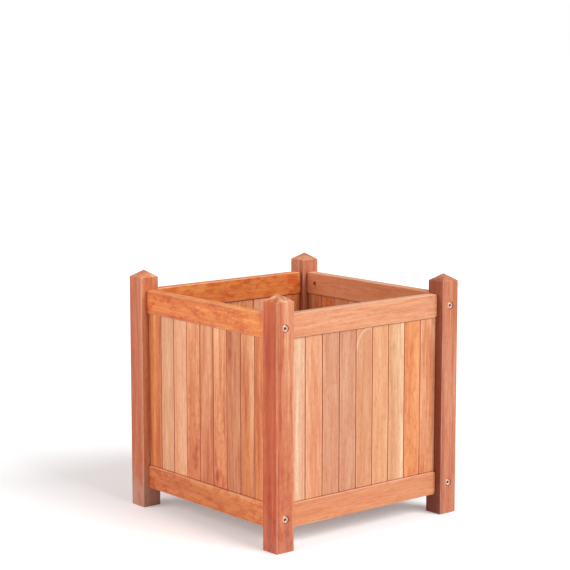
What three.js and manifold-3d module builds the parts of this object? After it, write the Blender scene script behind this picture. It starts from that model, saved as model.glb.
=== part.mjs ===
// A Versailles planter in oiled hardwood: a square box of tongue-and-groove boards between four capped posts.
// The front and back are glued frames. The two side panels are bolted between them, through the posts.
// A slatted floor lies loose on two ledgers, so that it can be lifted out.
// Millimetres, +Z up. The origin is on the ground, at the middle of the four feet, and the front looks along -Y.
import * as THREE from "three";
import { mergeVertices } from "three/addons/utils/BufferGeometryUtils.js";
import Module from "manifold-3d";

const wasm = await Module();
wasm.setup();

// ---- Overall sizes ----
const WIDTH = 500; // over the posts, along X
const DEPTH = 500; // over the posts, along Y
const POST_HEIGHT = 505; // ground to the eaves of a post's cap
const CAP_RISE = 15; // eaves to the tip of the cap

// ---- Posts and rails ----
const POST_SIZE = 45;
const POST_CORNER_RADIUS = 2.5;
const FOOT_BEVEL = 1.5;
const RAIL_HEIGHT = 50;
const RAIL_THICKNESS = 21;
const RAIL_END_RADIUS = 6; // the rails' corners, seen from the front
const RAIL_ARRIS = 2; // eased edge all round each face of a rail
const GROUND_CLEARANCE = 43; // ground to the bottom rails
const TOP_RAIL_DROP = 27; // eaves of the caps down to the top rails
const END_RAIL_SETBACK = 16; // face of a post to the face of a front or back rail
const SIDE_RAIL_SETBACK = 13; // the same on the left and right, where the rails lie in line with the bolts
const TENON_THICKNESS = 10;
const TENON_SHOULDER = 6; // above and below a tenon
const TENON_WALL = 4; // wood left between a mortise and the bolt hole that crosses the post
const TENON_ROOT = 10; // part of a tenon's block that lies inside its rail

// ---- Boards of the panels ----
const BOARDS_PER_PANEL = 9;
const BOARD_THICKNESS = 12;
const BOARD_ENTRY = 8; // how far a board's ends go into the rails
const TONGUE_LENGTH = 5;
const TONGUE_THICKNESS = 4;
const V_EDGE = 1.2; // chamfer on a board's outer long edges

// ---- Connector bolts and their barrel nuts ----
const HEAD_DIAMETER = 15;
const HEAD_THICKNESS = 2.5;
const HEAD_EDGE = 0.7;
const HEAD_SINK = 1; // head below the face of the post
const SOCKET_ACROSS_FLATS = 4;
const SOCKET_DEPTH = 3.5;
const SHANK_DIAMETER = 6;
const BOLT_GRIP = 36; // length of the shank inside the rail
const NUT_INSET = 28; // end of the rail to the barrel nut
const NUT_DIAMETER = 10;
const NUT_LENGTH = 14;

// ---- Floor and ledgers ----
const LEDGER_WIDTH = 20;
const LEDGER_HEIGHT = 20;
const LEDGER_RISE = 30; // bottom of the bottom rails to the top of the ledgers
const FLOOR_BOARDS = 5;
const FLOOR_BOARD_THICKNESS = 15;
const FLOOR_GAP = 10; // drain gap between floor boards
const FLOOR_PLAY = 3; // floor boards' ends to the rails
const FLOOR_EDGE = 1; // eased edge of a floor board
const BATTEN_WIDTH = 30;
const BATTEN_HEIGHT = 15;
const BATTEN_SPACING = 240; // between the middles of the two battens
const BATTEN_SETBACK = 12; // end of a batten to the edge of the floor
const BATTEN_HOUSING = 0.5; // how deep a batten is let into the boards

// ---- Clearances ----
const JOINT_GAP = 0.3; // between pieces that meet
const HOLE_CLEARANCE = 0.6; // hole over bolt or nut, on the diameter
const COUNTERBORE_CLEARANCE = 1.5; // counterbore over bolt head, on the diameter
const PAST = 1; // how far a cutter runs past the face that it opens

// ---- Sides of the round shapes ----
const HEAD_SIDES = 20;
const ROD_SIDES = 12;
const CORNER_STEPS = 2; // straight steps in each rounded corner

// ---- Places worked out from the sizes ----
const postX = (WIDTH - POST_SIZE) / 2;
const postY = (DEPTH - POST_SIZE) / 2;
const topRailZ = POST_HEIGHT - TOP_RAIL_DROP - RAIL_HEIGHT / 2;
const bottomRailZ = GROUND_CLEARANCE + RAIL_HEIGHT / 2;
const grooveDepth = BOARD_ENTRY + JOINT_GAP;
const holeRadius = (SHANK_DIAMETER + HOLE_CLEARANCE) / 2;
const tenonLength = POST_SIZE / 2 - holeRadius - TENON_WALL;
const endRailY = DEPTH / 2 - END_RAIL_SETBACK - RAIL_THICKNESS / 2;
const sideRailX = WIDTH / 2 - SIDE_RAIL_SETBACK - RAIL_THICKNESS / 2;
const ledgerTop = GROUND_CLEARANCE + LEDGER_RISE;

// ---- Wood and metal ----
const TONES = {
  cream: 0xd7a682,
  tan: 0xd4966a,
  golden: 0xd49567,
  orange: 0xd38953,
  salmon: 0xce8b62,
  greyPink: 0xc18566,
  brown: 0xc48057,
  post: 0xbd6f4a,
  rail: 0xcd8158,
  floor: 0xb08058,
};
const FRONT_TONES = "cream salmon greyPink greyPink salmon golden tan orange salmon".split(" ");
const LEFT_TONES = "orange cream cream golden salmon tan brown orange orange".split(" ");

function wood(tone) {
  return new THREE.MeshStandardMaterial({ color: TONES[tone], roughness: 0.6, metalness: 0 });
}

function steel() {
  return new THREE.MeshStandardMaterial({ color: 0xc9c9c6, roughness: 0.3, metalness: 1 });
}

// ---- Cutting and joining ----
function solid(geometry) {
  const bare = geometry.clone();
  bare.deleteAttribute("normal");
  bare.deleteAttribute("uv");
  const merged = mergeVertices(bare, 1e-4);
  return new wasm.Manifold(
    new wasm.Mesh({
      numProp: 3,
      vertProperties: merged.attributes.position.array,
      triVerts: new Uint32Array(merged.index.array),
    }),
  );
}

function geometryOf(made) {
  const { vertProperties, triVerts } = made.getMesh();
  const geometry = new THREE.BufferGeometry();
  geometry.setAttribute("position", new THREE.BufferAttribute(vertProperties, 3));
  geometry.setIndex(new THREE.BufferAttribute(triVerts, 1));
  geometry.computeVertexNormals();
  return geometry;
}

// A block given by its size and the place of its middle.
function block(sizeX, sizeY, sizeZ, x, y, z) {
  return solid(new THREE.BoxGeometry(sizeX, sizeY, sizeZ).translate(x, y, z));
}

// A round rod from one y to another, on the axis x, z.
function rodAlongY(radius, fromY, toY, x, z, sides) {
  const rod = new THREE.CylinderGeometry(radius, radius, toY - fromY, sides);
  return solid(rod.translate(x, (fromY + toY) / 2, z));
}

// A round rod from one x to another, on the axis y, z.
function rodAlongX(radius, fromX, toX, y, z, sides) {
  const rod = new THREE.CylinderGeometry(radius, radius, toX - fromX, sides).rotateZ(Math.PI / 2);
  return solid(rod.translate((fromX + toX) / 2, y, z));
}

function roundedRectangle(width, height, radius) {
  const x = width / 2 - radius;
  const y = height / 2 - radius;
  const outline = new THREE.Shape();
  outline.absarc(x, y, radius, 0, Math.PI / 2);
  outline.absarc(-x, y, radius, Math.PI / 2, Math.PI);
  outline.absarc(-x, -y, radius, Math.PI, 1.5 * Math.PI);
  outline.absarc(x, -y, radius, 1.5 * Math.PI, 2 * Math.PI);
  return outline;
}

// An outline pulled up by a thickness, with both its faces' edges eased. Each arc takes two steps a segment.
function easedSlab(outline, thickness, ease) {
  const slab = new THREE.ExtrudeGeometry(outline, {
    depth: thickness - 2 * ease,
    bevelThickness: ease,
    bevelSize: ease,
    bevelOffset: -ease,
    bevelSegments: 1,
    curveSegments: CORNER_STEPS / 2,
  });
  return slab.translate(0, 0, ease);
}

function named(name, geometry, material) {
  const mesh = new THREE.Mesh(geometry, material);
  mesh.name = name;
  return mesh;
}

// ---- Posts ----
// A pyramid that holds the whole post under it and gives the cap its slopes.
function capPyramid() {
  const tip = POST_HEIGHT + CAP_RISE;
  const halfBase = (tip * POST_SIZE) / 2 / CAP_RISE;
  const pyramid = new THREE.CylinderGeometry(0, halfBase * Math.SQRT2, tip, 4, 1, false, Math.PI / 4);
  return solid(pyramid.rotateX(Math.PI / 2).translate(0, 0, tip / 2));
}

function boltHole(z) {
  const face = -POST_SIZE / 2;
  const counterbore = (HEAD_DIAMETER + COUNTERBORE_CLEARANCE) / 2;
  const seat = face + HEAD_SINK + HEAD_THICKNESS;
  return rodAlongY(holeRadius, face, -face + PAST, 0, z, ROD_SIDES).add(
    rodAlongY(counterbore, face - PAST, seat, 0, z, HEAD_SIDES),
  );
}

// The post's outer face looks along -Y. Its mortises open towards +X or -X, as inward is 1 or -1.
function postGeometry(inward) {
  const section = roundedRectangle(POST_SIZE, POST_SIZE, POST_CORNER_RADIUS);
  const uncut = easedSlab(section, POST_HEIGHT + CAP_RISE + FOOT_BEVEL, FOOT_BEVEL);
  let post = solid(uncut).intersect(capPyramid());
  const railY = postY - endRailY;
  const mortiseDepth = tenonLength + JOINT_GAP;
  const mortiseX = inward * (POST_SIZE / 2 - (mortiseDepth - PAST) / 2);
  for (const [railZ, grooveSide] of [[topRailZ, -1], [bottomRailZ, 1]]) {
    post = post.subtract(boltHole(railZ));
    const mortise = tenonBlock(mortiseDepth + PAST, grooveSide, 2 * JOINT_GAP);
    post = post.subtract(mortise.translate([mortiseX, railY, railZ]));
  }
  return geometryOf(post);
}

// ---- Rails ----
// The tenon leaves the groove free. grooveSide is -1 for a rail grooved below and 1 for one grooved above.
function tenonBlock(length, grooveSide, room) {
  const height = RAIL_HEIGHT - grooveDepth - 2 * TENON_SHOULDER;
  const z = (-grooveSide * grooveDepth) / 2;
  return block(length, TENON_THICKNESS + room, height + room, 0, 0, z);
}

function grooveCut(length, grooveSide) {
  const z = grooveSide * (RAIL_HEIGHT / 2 + (PAST - grooveDepth) / 2);
  return block(length, BOARD_THICKNESS + 2 * JOINT_GAP, grooveDepth + PAST, 0, 0, z);
}

// A rail between two posts: its elevation pulled through its thickness, with the boards' groove cut in.
function plainRail(opening, grooveSide) {
  const length = opening - 2 * JOINT_GAP;
  const elevation = roundedRectangle(length, RAIL_HEIGHT, RAIL_END_RADIUS);
  const slab = easedSlab(elevation, RAIL_THICKNESS, RAIL_ARRIS).translate(0, 0, -RAIL_THICKNESS / 2);
  return solid(slab.rotateX(Math.PI / 2)).subtract(grooveCut(opening, grooveSide));
}

function endRailGeometry(opening, grooveSide) {
  const tenonX = opening / 2 + (tenonLength - TENON_ROOT) / 2;
  const tenon = tenonBlock(tenonLength + TENON_ROOT, grooveSide, 0);
  let rail = plainRail(opening, grooveSide);
  for (const end of [-1, 1]) {
    rail = rail.add(tenon.translate([end * tenonX, 0, 0]));
  }
  return geometryOf(rail);
}

// The bolts come in at both ends, and a barrel nut's hole opens in the inner face behind each end.
function sideRailGeometry(opening, grooveSide) {
  const boltY = sideRailX - postX;
  const innerFace = RAIL_THICKNESS / 2;
  const nutHoleRadius = (NUT_DIAMETER + HOLE_CLEARANCE) / 2;
  const nutHoleEnd = -NUT_LENGTH / 2 - JOINT_GAP;
  const nutX = opening / 2 - NUT_INSET;
  let rail = plainRail(opening, grooveSide);
  for (const end of [-1, 1]) {
    const from = end * (opening / 2 + PAST);
    const to = end * (opening / 2 - BOLT_GRIP - PAST);
    rail = rail.subtract(rodAlongX(holeRadius, Math.min(from, to), Math.max(from, to), boltY, 0, ROD_SIDES));
    rail = rail.subtract(rodAlongY(nutHoleRadius, nutHoleEnd, innerFace + PAST, end * nutX, 0, ROD_SIDES));
  }
  return geometryOf(rail);
}

// ---- Boards ----
// A board's section, with its outer face towards -Y, a groove on its left and a tongue on its right.
function boardSection(width, hasGroove, hasTongue) {
  const side = width / 2;
  const face = BOARD_THICKNESS / 2;
  const tongue = TONGUE_THICKNESS / 2;
  const slot = tongue + JOINT_GAP;
  const slotBottom = -side + TONGUE_LENGTH + JOINT_GAP;
  const points = [
    [-side + V_EDGE, -face],
    [side - V_EDGE, -face],
    [side, -face + V_EDGE],
  ];
  if (hasTongue) {
    points.push([side, -tongue], [side + TONGUE_LENGTH, -tongue], [side + TONGUE_LENGTH, tongue], [side, tongue]);
  }
  points.push([side, face], [-side, face]);
  if (hasGroove) {
    points.push([-side, slot], [slotBottom, slot], [slotBottom, -slot], [-side, -slot]);
  }
  points.push([-side, -face + V_EDGE]);
  return new THREE.Shape(points.map(([x, y]) => new THREE.Vector2(x, y)));
}

// The boards of one panel, in the panel's own frame: x across the panel, outer faces towards -Y.
function addBoards(group, side, opening, tones) {
  const pitch = opening / BOARDS_PER_PANEL;
  const railGap = topRailZ - bottomRailZ - RAIL_HEIGHT;
  const length = railGap + 2 * BOARD_ENTRY;
  for (let i = 0; i < BOARDS_PER_PANEL; i++) {
    const section = boardSection(pitch - JOINT_GAP, i > 0, i < BOARDS_PER_PANEL - 1);
    const geometry = new THREE.ExtrudeGeometry(section, { depth: length, bevelEnabled: false });
    const board = named(`${side}_board_${i + 1}`, geometry, wood(tones[i % tones.length]));
    board.position.set((i - (BOARDS_PER_PANEL - 1) / 2) * pitch, 0, (topRailZ + bottomRailZ - length) / 2);
    group.add(board);
  }
}

function addPanel(group, side, opening, railGeometry, tones) {
  const top = named(`${side}_top_rail`, railGeometry(opening, -1), wood("rail"));
  const bottom = named(`${side}_bottom_rail`, railGeometry(opening, 1), wood("rail"));
  top.position.z = topRailZ;
  bottom.position.z = bottomRailZ;
  group.add(top, bottom);
  addBoards(group, side, opening, tones);
}

// ---- Bolts ----
// Turned about the Y axis, head outwards. The barrel nut lies across it, in the middle of the side rail.
function boltGeometry(inward) {
  const head = HEAD_DIAMETER / 2;
  const shank = SHANK_DIAMETER / 2;
  const tip = POST_SIZE - HEAD_SINK + BOLT_GRIP;
  const profile = [
    [0, 0],
    [head - HEAD_EDGE, 0],
    [head, HEAD_EDGE],
    [head, HEAD_THICKNESS],
    [shank, HEAD_THICKNESS],
    [shank, tip],
    [0, tip],
  ].map(([r, y]) => new THREE.Vector2(r, y));
  const nutY = POST_SIZE - HEAD_SINK + NUT_INSET;
  const nutX = inward * (postX - sideRailX);
  const nut = rodAlongX(NUT_DIAMETER / 2, nutX - NUT_LENGTH / 2, nutX + NUT_LENGTH / 2, nutY, 0, ROD_SIDES);
  const cornerRadius = SOCKET_ACROSS_FLATS / Math.sqrt(3);
  const socket = rodAlongY(cornerRadius, -PAST, SOCKET_DEPTH, 0, 0, 6);
  return geometryOf(solid(new THREE.LatheGeometry(profile, HEAD_SIDES)).add(nut).subtract(socket));
}

// ---- The three kinds of sub-assembly ----
// Posts, rails, boards and bolts of the front or back. nearLeft names the side at the frame's own left.
function endFrame(side, nearLeft, nearRight, tones) {
  const frame = new THREE.Group();
  for (const [place, name] of [[-1, nearLeft], [1, nearRight]]) {
    const post = named(`post_${side}_${name}`, postGeometry(-place), wood("post"));
    post.position.set(place * postX, -postY, 0);
    frame.add(post);
    for (const [level, z] of [["top", topRailZ], ["bottom", bottomRailZ]]) {
      const bolt = named(`bolt_${side}_${name}_${level}`, boltGeometry(-place), steel());
      bolt.position.set(place * postX, -DEPTH / 2 + HEAD_SINK, z);
      frame.add(bolt);
    }
  }
  const panel = new THREE.Group();
  panel.position.y = -endRailY;
  addPanel(panel, side, WIDTH - 2 * POST_SIZE, endRailGeometry, tones);
  frame.add(panel);
  return frame;
}

// Rails and boards of the left or right, and the ledger on the inside of its bottom rail.
function sidePanel(side, tones) {
  const panel = new THREE.Group();
  const opening = DEPTH - 2 * POST_SIZE;
  panel.position.y = -sideRailX;
  addPanel(panel, side, opening, sideRailGeometry, tones);
  const bar = new THREE.BoxGeometry(opening - 2 * FLOOR_PLAY, LEDGER_WIDTH, LEDGER_HEIGHT);
  const ledger = named(`${side}_ledger`, bar, wood("floor"));
  ledger.position.y = (RAIL_THICKNESS + LEDGER_WIDTH) / 2 + JOINT_GAP;
  ledger.position.z = ledgerTop - LEDGER_HEIGHT / 2;
  panel.add(ledger);
  const turned = new THREE.Group();
  turned.add(panel);
  return turned;
}

// Boards across the width with drain gaps between them, on two battens let in from below.
function floorGeometry() {
  const length = 2 * (sideRailX - RAIL_THICKNESS / 2 - FLOOR_PLAY);
  const depth = DEPTH - 2 * POST_SIZE - 2 * FLOOR_PLAY;
  const pitch = (depth + FLOOR_GAP) / FLOOR_BOARDS;
  const boardWidth = pitch - FLOOR_GAP;
  const plan = roundedRectangle(length, boardWidth, 2 * FLOOR_EDGE);
  const board = solid(easedSlab(plan, FLOOR_BOARD_THICKNESS, FLOOR_EDGE));
  const battenLength = depth - 2 * BATTEN_SETBACK;
  const battenZ = BATTEN_HOUSING - BATTEN_HEIGHT / 2;
  let floor = null;
  for (let i = 0; i < FLOOR_BOARDS; i++) {
    const placed = board.translate([0, (i - (FLOOR_BOARDS - 1) / 2) * pitch, 0]);
    floor = floor ? floor.add(placed) : placed;
  }
  for (const place of [-1, 1]) {
    const battenX = (place * BATTEN_SPACING) / 2;
    floor = floor.add(block(BATTEN_WIDTH, battenLength, BATTEN_HEIGHT, battenX, 0, battenZ));
  }
  return geometryOf(floor);
}

const planter = new THREE.Group();

const front = endFrame("front", "left", "right", FRONT_TONES);
const back = endFrame("back", "right", "left", LEFT_TONES);
back.rotation.z = Math.PI;

const left = sidePanel("left", LEFT_TONES);
const right = sidePanel("right", FRONT_TONES);
left.rotation.z = -Math.PI / 2;
right.rotation.z = Math.PI / 2;

const floor = named("slatted_floor", floorGeometry(), wood("floor"));
floor.position.z = ledgerTop;

planter.add(front, back, left, right, floor);

export default planter;
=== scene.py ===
# %% [markdown]
# # A Versailles planter in oiled hardwood
# The planter is a square wooden box between four capped posts. Its construction is already fixed:
# every post, rail, board and bolt has its place and its size. What is left to do is what the eye
# sees, which is rounded arrises, turned bolt heads, screws, and above all the wood. Each piece is
# cut from its own log, so that no two boards look alike and the end grain fits the long grain.

# %% Load the frame
import math
import random

import bmesh
import bpy
from mathutils import Matrix, Vector


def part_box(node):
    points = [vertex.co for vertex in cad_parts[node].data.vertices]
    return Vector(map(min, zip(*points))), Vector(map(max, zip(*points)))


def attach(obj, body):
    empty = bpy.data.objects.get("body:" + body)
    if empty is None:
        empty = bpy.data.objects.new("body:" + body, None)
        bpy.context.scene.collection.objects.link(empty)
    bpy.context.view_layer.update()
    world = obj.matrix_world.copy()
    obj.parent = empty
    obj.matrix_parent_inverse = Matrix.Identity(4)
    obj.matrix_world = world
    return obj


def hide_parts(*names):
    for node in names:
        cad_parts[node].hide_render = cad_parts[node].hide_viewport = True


MM = 0.001
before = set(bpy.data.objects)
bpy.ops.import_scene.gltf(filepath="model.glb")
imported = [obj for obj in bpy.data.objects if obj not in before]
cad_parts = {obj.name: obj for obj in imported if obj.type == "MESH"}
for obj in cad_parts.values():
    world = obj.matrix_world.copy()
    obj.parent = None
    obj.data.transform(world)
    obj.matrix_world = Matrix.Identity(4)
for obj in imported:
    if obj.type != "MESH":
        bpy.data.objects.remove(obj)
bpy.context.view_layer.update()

# %% [markdown]
# ## The camera
# A picture taken with a long lens has almost parallel edges, so the place of the camera matters
# more than it seems. This place was found by fitting one camera to the corners of the planter: it
# stands a good three metres away, at chest height, and looks a little down at the front left
# corner. A camera in Blender looks along its own -Z, so it is first tipped up from the floor by 90
# degrees less the pitch, and then turned to its heading.

# %% Camera
CAMERA_PLACE = (-2.3857, -2.8347, 1.0321)
CAMERA_HEADING = 39.84  # degrees from +Y towards +X
CAMERA_PITCH = 8.32  # degrees below the horizon
FOCAL_LENGTH_PIXELS = 1748.4
PICTURE_PIXELS = 570
SENSOR_WIDTH = 36  # mm

camera_data = bpy.data.cameras.new("camera")
camera_data.sensor_width = SENSOR_WIDTH
camera_data.lens = FOCAL_LENGTH_PIXELS / PICTURE_PIXELS * SENSOR_WIDTH
camera = bpy.data.objects.new("camera", camera_data)
camera.location = CAMERA_PLACE
camera.rotation_euler = (math.radians(90 - CAMERA_PITCH), 0, math.radians(-CAMERA_HEADING))
bpy.context.scene.collection.objects.link(camera)
bpy.context.scene.camera = camera
print("lens in mm:", round(camera_data.lens, 2))

# %% [markdown]
# ## Helpers for modelling by hand
# Blender's operators act on whatever is selected, so every step starts by deselecting everything.
# A piece is finished with its object at the origin and its place in its mesh, like the nodes of
# the frame: `transform_apply` does that. Faces and edges are picked by a test on where they are,
# which is what a hand does with the mouse.

# %% Helpers for selecting
TOUCH = 1e-5  # metres within which a point counts as lying on a face
PARALLEL = 0.999  # cosine from which an edge counts as running along an axis


def start_clean():
    """Leaves edit mode and deselects everything."""
    if bpy.context.mode != "OBJECT":
        bpy.ops.object.mode_set(mode="OBJECT")
    bpy.ops.object.select_all(action="DESELECT")


def take(piece):
    """Makes one piece the only selected and the active one."""
    start_clean()
    piece.select_set(True)
    bpy.context.view_layer.objects.active = piece


def keep_place_in_mesh(piece):
    take(piece)
    bpy.ops.object.transform_apply(location=True, rotation=True, scale=True)


def pick(piece, kind, test):
    """Enters edit mode and selects only the vertices, edges or faces that pass a test."""
    if bpy.context.mode != "EDIT_MESH":
        take(piece)
        bpy.ops.object.mode_set(mode="EDIT")
    modes = (kind == "verts", kind == "edges", kind == "faces")
    bpy.context.tool_settings.mesh_select_mode = modes
    bpy.ops.mesh.select_all(action="DESELECT")
    shape = bmesh.from_edit_mesh(piece.data)
    for part in getattr(shape, kind):
        if test(part):
            part.select_set(True)
    shape.select_flush_mode()
    bmesh.update_edit_mesh(piece.data)


def runs_along(axis):
    """A test for edges that run along one axis, given by its number."""

    def test(edge):
        direction = (edge.verts[1].co - edge.verts[0].co).normalized()
        return abs(direction[axis]) > PARALLEL

    return test


def middle(part):
    return sum((v.co for v in part.verts), Vector()) / len(part.verts)


def span(points):
    """The lowest and highest corner of the box round some points."""
    points = list(points)
    low = Vector([min(p[i] for p in points) for i in range(3)])
    high = Vector([max(p[i] for p in points) for i in range(3)])
    return low, high


def box_of(piece):
    return span(v.co for v in piece.data.vertices)


# %% Helpers for making and cutting
ROD_SIDES = 48
HOLE_SIDES = 24
EASED_ANGLE = 32  # degrees by which an edge has to turn to be rounded
SMOOTH_ANGLE = 40  # degrees up to which an edge is shaded as smooth


def block(name, low, high):
    """A box between two corners."""
    start_clean()
    bpy.ops.mesh.primitive_cube_add(size=1, location=(Vector(low) + Vector(high)) / 2)
    piece = bpy.context.object
    piece.name = piece.data.name = name
    piece.scale = Vector(high) - Vector(low)
    keep_place_in_mesh(piece)
    return piece


def rod(name, radius, start, end, sides=ROD_SIDES, end_radius=None):
    """A round rod or cone from one point to another."""
    start, end = Vector(start), Vector(end)
    start_clean()
    bpy.ops.mesh.primitive_cone_add(
        vertices=sides,
        radius1=radius,
        radius2=radius if end_radius is None else end_radius,
        depth=(end - start).length,
        location=(start + end) / 2,
        rotation=(end - start).to_track_quat("Z", "Y").to_euler(),
    )
    piece = bpy.context.object
    piece.name = piece.data.name = name
    keep_place_in_mesh(piece)
    return piece


def combine(piece, tools, operation):
    """Cuts tools out of a piece, or joins them to it, and throws the tools away."""
    for tool in tools:
        take(piece)
        modifier = piece.modifiers.new("combine", "BOOLEAN")
        modifier.operation = operation
        modifier.solver = "EXACT"
        modifier.object = tool
        bpy.ops.object.modifier_apply(modifier=modifier.name)
        bpy.data.objects.remove(tool)


def smooth(piece, angle=SMOOTH_ANGLE):
    take(piece)
    bpy.ops.object.shade_smooth_by_angle(angle=math.radians(angle))


def ease(piece, width, segments=2, angle=EASED_ANGLE):
    """Rounds every sharp edge, and shades the piece as one smooth surface."""
    take(piece)
    modifier = piece.modifiers.new("ease", "BEVEL")
    modifier.width = width
    modifier.segments = segments
    modifier.limit_method = "ANGLE"
    modifier.angle_limit = math.radians(angle)
    modifier.miter_outer = "MITER_ARC"
    bpy.ops.object.modifier_apply(modifier=modifier.name)
    smooth(piece)
    modifier = piece.modifiers.new("flat faces stay flat", "WEIGHTED_NORMAL")
    modifier.keep_sharp = True
    bpy.ops.object.modifier_apply(modifier=modifier.name)


def copy_of(master, name, matrix):
    """A copy with its own mesh, moved by a matrix inside that mesh."""
    piece = master.copy()
    piece.data = master.data.copy()
    piece.name = piece.data.name = name
    piece.data.transform(matrix)
    bpy.context.scene.collection.objects.link(piece)
    return piece


# %% Helpers for finished pieces
def wear(piece, material):
    """Gives a piece its one material."""
    piece.data.materials.clear()
    piece.data.materials.append(material)


def stand_for(piece, material, nodes, body):
    """Gives a finished piece its material, and puts it in the place of CAD nodes, on their body."""
    wear(piece, material)
    if nodes:
        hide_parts(*nodes)
    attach(piece, body)


def off_by(piece, node):
    """How far a piece's box is from the box of its node, in millimetres."""
    (low, high), (cad_from, cad_to) = box_of(piece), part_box(node)
    return max(abs(a - b) for a, b in zip((*low, *high), (*cad_from, *cad_to))) / MM


# %% [markdown]
# ## Nodes in few words
# A material is a graph, and a long graph is hard to read as code. These helpers add one node each
# and feed it, so that a recipe reads from top to bottom. A value may be a plain number or the
# output of another node. An effect that several materials share becomes a group, with named
# inputs and outputs, which is built once and placed in each of them.

# %% Helpers for nodes
def feed(tree, socket, value):
    """Links an output to an input, or sets the input to a plain value."""
    if isinstance(value, bpy.types.NodeSocket):
        tree.links.new(value, socket)
    else:
        socket.default_value = value


def put(tree, kind, inputs=None, **settings):
    """Adds a node, sets it, and feeds its inputs."""
    node = tree.nodes.new("ShaderNode" + kind)
    for name, value in settings.items():
        setattr(node, name, value)
    for key, value in (inputs or {}).items():
        feed(tree, node.inputs[key], value)
    return node


def calc(tree, operation, *values):
    return put(tree, "Math", dict(enumerate(values)), operation=operation).outputs[0]


def vector(tree, operation, *values):
    node = put(tree, "VectorMath", dict(enumerate(values)), operation=operation)
    return node.outputs["Value" if operation in ("LENGTH", "DOT_PRODUCT") else "Vector"]


def split(tree, value):
    """The X, Y and Z of a vector."""
    return put(tree, "SeparateXYZ", {0: value}).outputs


def soft_step(tree, value, low, high, start=0.0, end=1.0):
    """Goes smoothly from start to end while the value goes from low to high."""
    inputs = {"Value": value, "From Min": low, "From Max": high, "To Min": start, "To Max": end}
    return put(tree, "MapRange", inputs, interpolation_type="SMOOTHSTEP").outputs["Result"]


def noise(tree, place, stretch, detail=2.0, roughness=0.5):
    """Cloudy noise with its own scale along each axis, in cycles a metre."""
    scaled = vector(tree, "MULTIPLY", place, stretch)
    inputs = {"Vector": scaled, "Scale": 1.0, "Detail": detail, "Roughness": roughness}
    return put(tree, "TexNoise", inputs).outputs


def noise_along(tree, distance, scale, detail, roughness=0.5):
    """Noise that changes with one number only."""
    inputs = {"W": distance, "Scale": scale, "Detail": detail, "Roughness": roughness}
    return put(tree, "TexNoise", inputs, noise_dimensions="1D").outputs[0]


def mix(tree, share, first, second, mode="MIX"):
    inputs = {0: share, 6: first, 7: second}
    return put(tree, "Mix", inputs, data_type="RGBA", blend_type=mode).outputs[2]


def centred(tree, middle_place, turn=(0, 0, 0)):
    """The place on a piece, seen from its middle and turned."""
    place = tree.nodes.new("ShaderNodeTexCoord").outputs["Object"]
    inputs = {"Vector": place, "Location": middle_place, "Rotation": turn}
    return put(tree, "Mapping", inputs, vector_type="TEXTURE").outputs[0]


def new_group(name, inputs, outputs):
    """A node group. Its sockets are given by their kind, such as {"Float": "Lean, Taper"}."""
    tree = bpy.data.node_groups.new(name, "ShaderNodeTree")
    for in_out, kinds in (("INPUT", inputs), ("OUTPUT", outputs)):
        for kind, sockets in kinds.items():
            for socket in sockets.split(", "):
                tree.interface.new_socket(socket, in_out=in_out, socket_type="NodeSocket" + kind)
    given = tree.nodes.new("NodeGroupInput").outputs
    return tree, given, tree.nodes.new("NodeGroupOutput").inputs


def use(tree, group, outer=(), **inputs):
    """Places a group in a tree. An input's name is written with _ for each space.

    What comes into an outer group goes on unchanged to the inputs of the same name.
    """
    node = tree.nodes.new("ShaderNodeGroup")
    node.node_tree = group
    for socket in outer:
        if socket.name in node.inputs:
            feed(tree, node.inputs[socket.name], socket)
    for name, value in inputs.items():
        feed(tree, node.inputs[name.replace("_", " ")], value)
    return node.outputs


# %% Helpers for materials
def new_material(name):
    """A material, its tree and its shader."""
    material = bpy.data.materials.new(name)
    material.use_nodes = True
    return material, material.node_tree, material.node_tree.nodes["Principled BSDF"]


def finish_shader(tree, shader, colour, roughness, relief, strength, height):
    """Feeds a shader its colour, its roughness and a bump of some height."""
    inputs = {"Height": relief, "Strength": strength, "Distance": height}
    bump = put(tree, "Bump", inputs).outputs["Normal"]
    for name, value in (("Base Color", colour), ("Roughness", roughness), ("Normal", bump)):
        feed(tree, shader.inputs[name], value)


# %% [markdown]
# ## Growth rings
# Stripes painted along a board look like wallpaper, because real figure comes from cutting a solid
# log. So the rings are made in three dimensions: the distance from the heart of a log that leans
# and tapers, shaken by slow noise. A board cut near the heart then shows arches, one cut far from
# it shows straight lines, and a post's end grain shows arcs, with no extra work. The spaces
# between real rings are uneven, which a one-dimensional noise along the radius gives. Beyond the
# heartwood the sapwood is pale, and where a board just reaches it, it gets a light edge.

# %% Growth rings
WANDER_SCALE = (9, 9, 2.4)  # cycles a metre of the slow noise that shakes the log
NOISE_AVERAGE = (0.5, 0.5, 0.5)
RING_STEP = (0.34, 0.68)  # from early wood to late wood
SAP_BLEND = 0.008  # metres over which heartwood turns to sapwood, on either side


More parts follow.
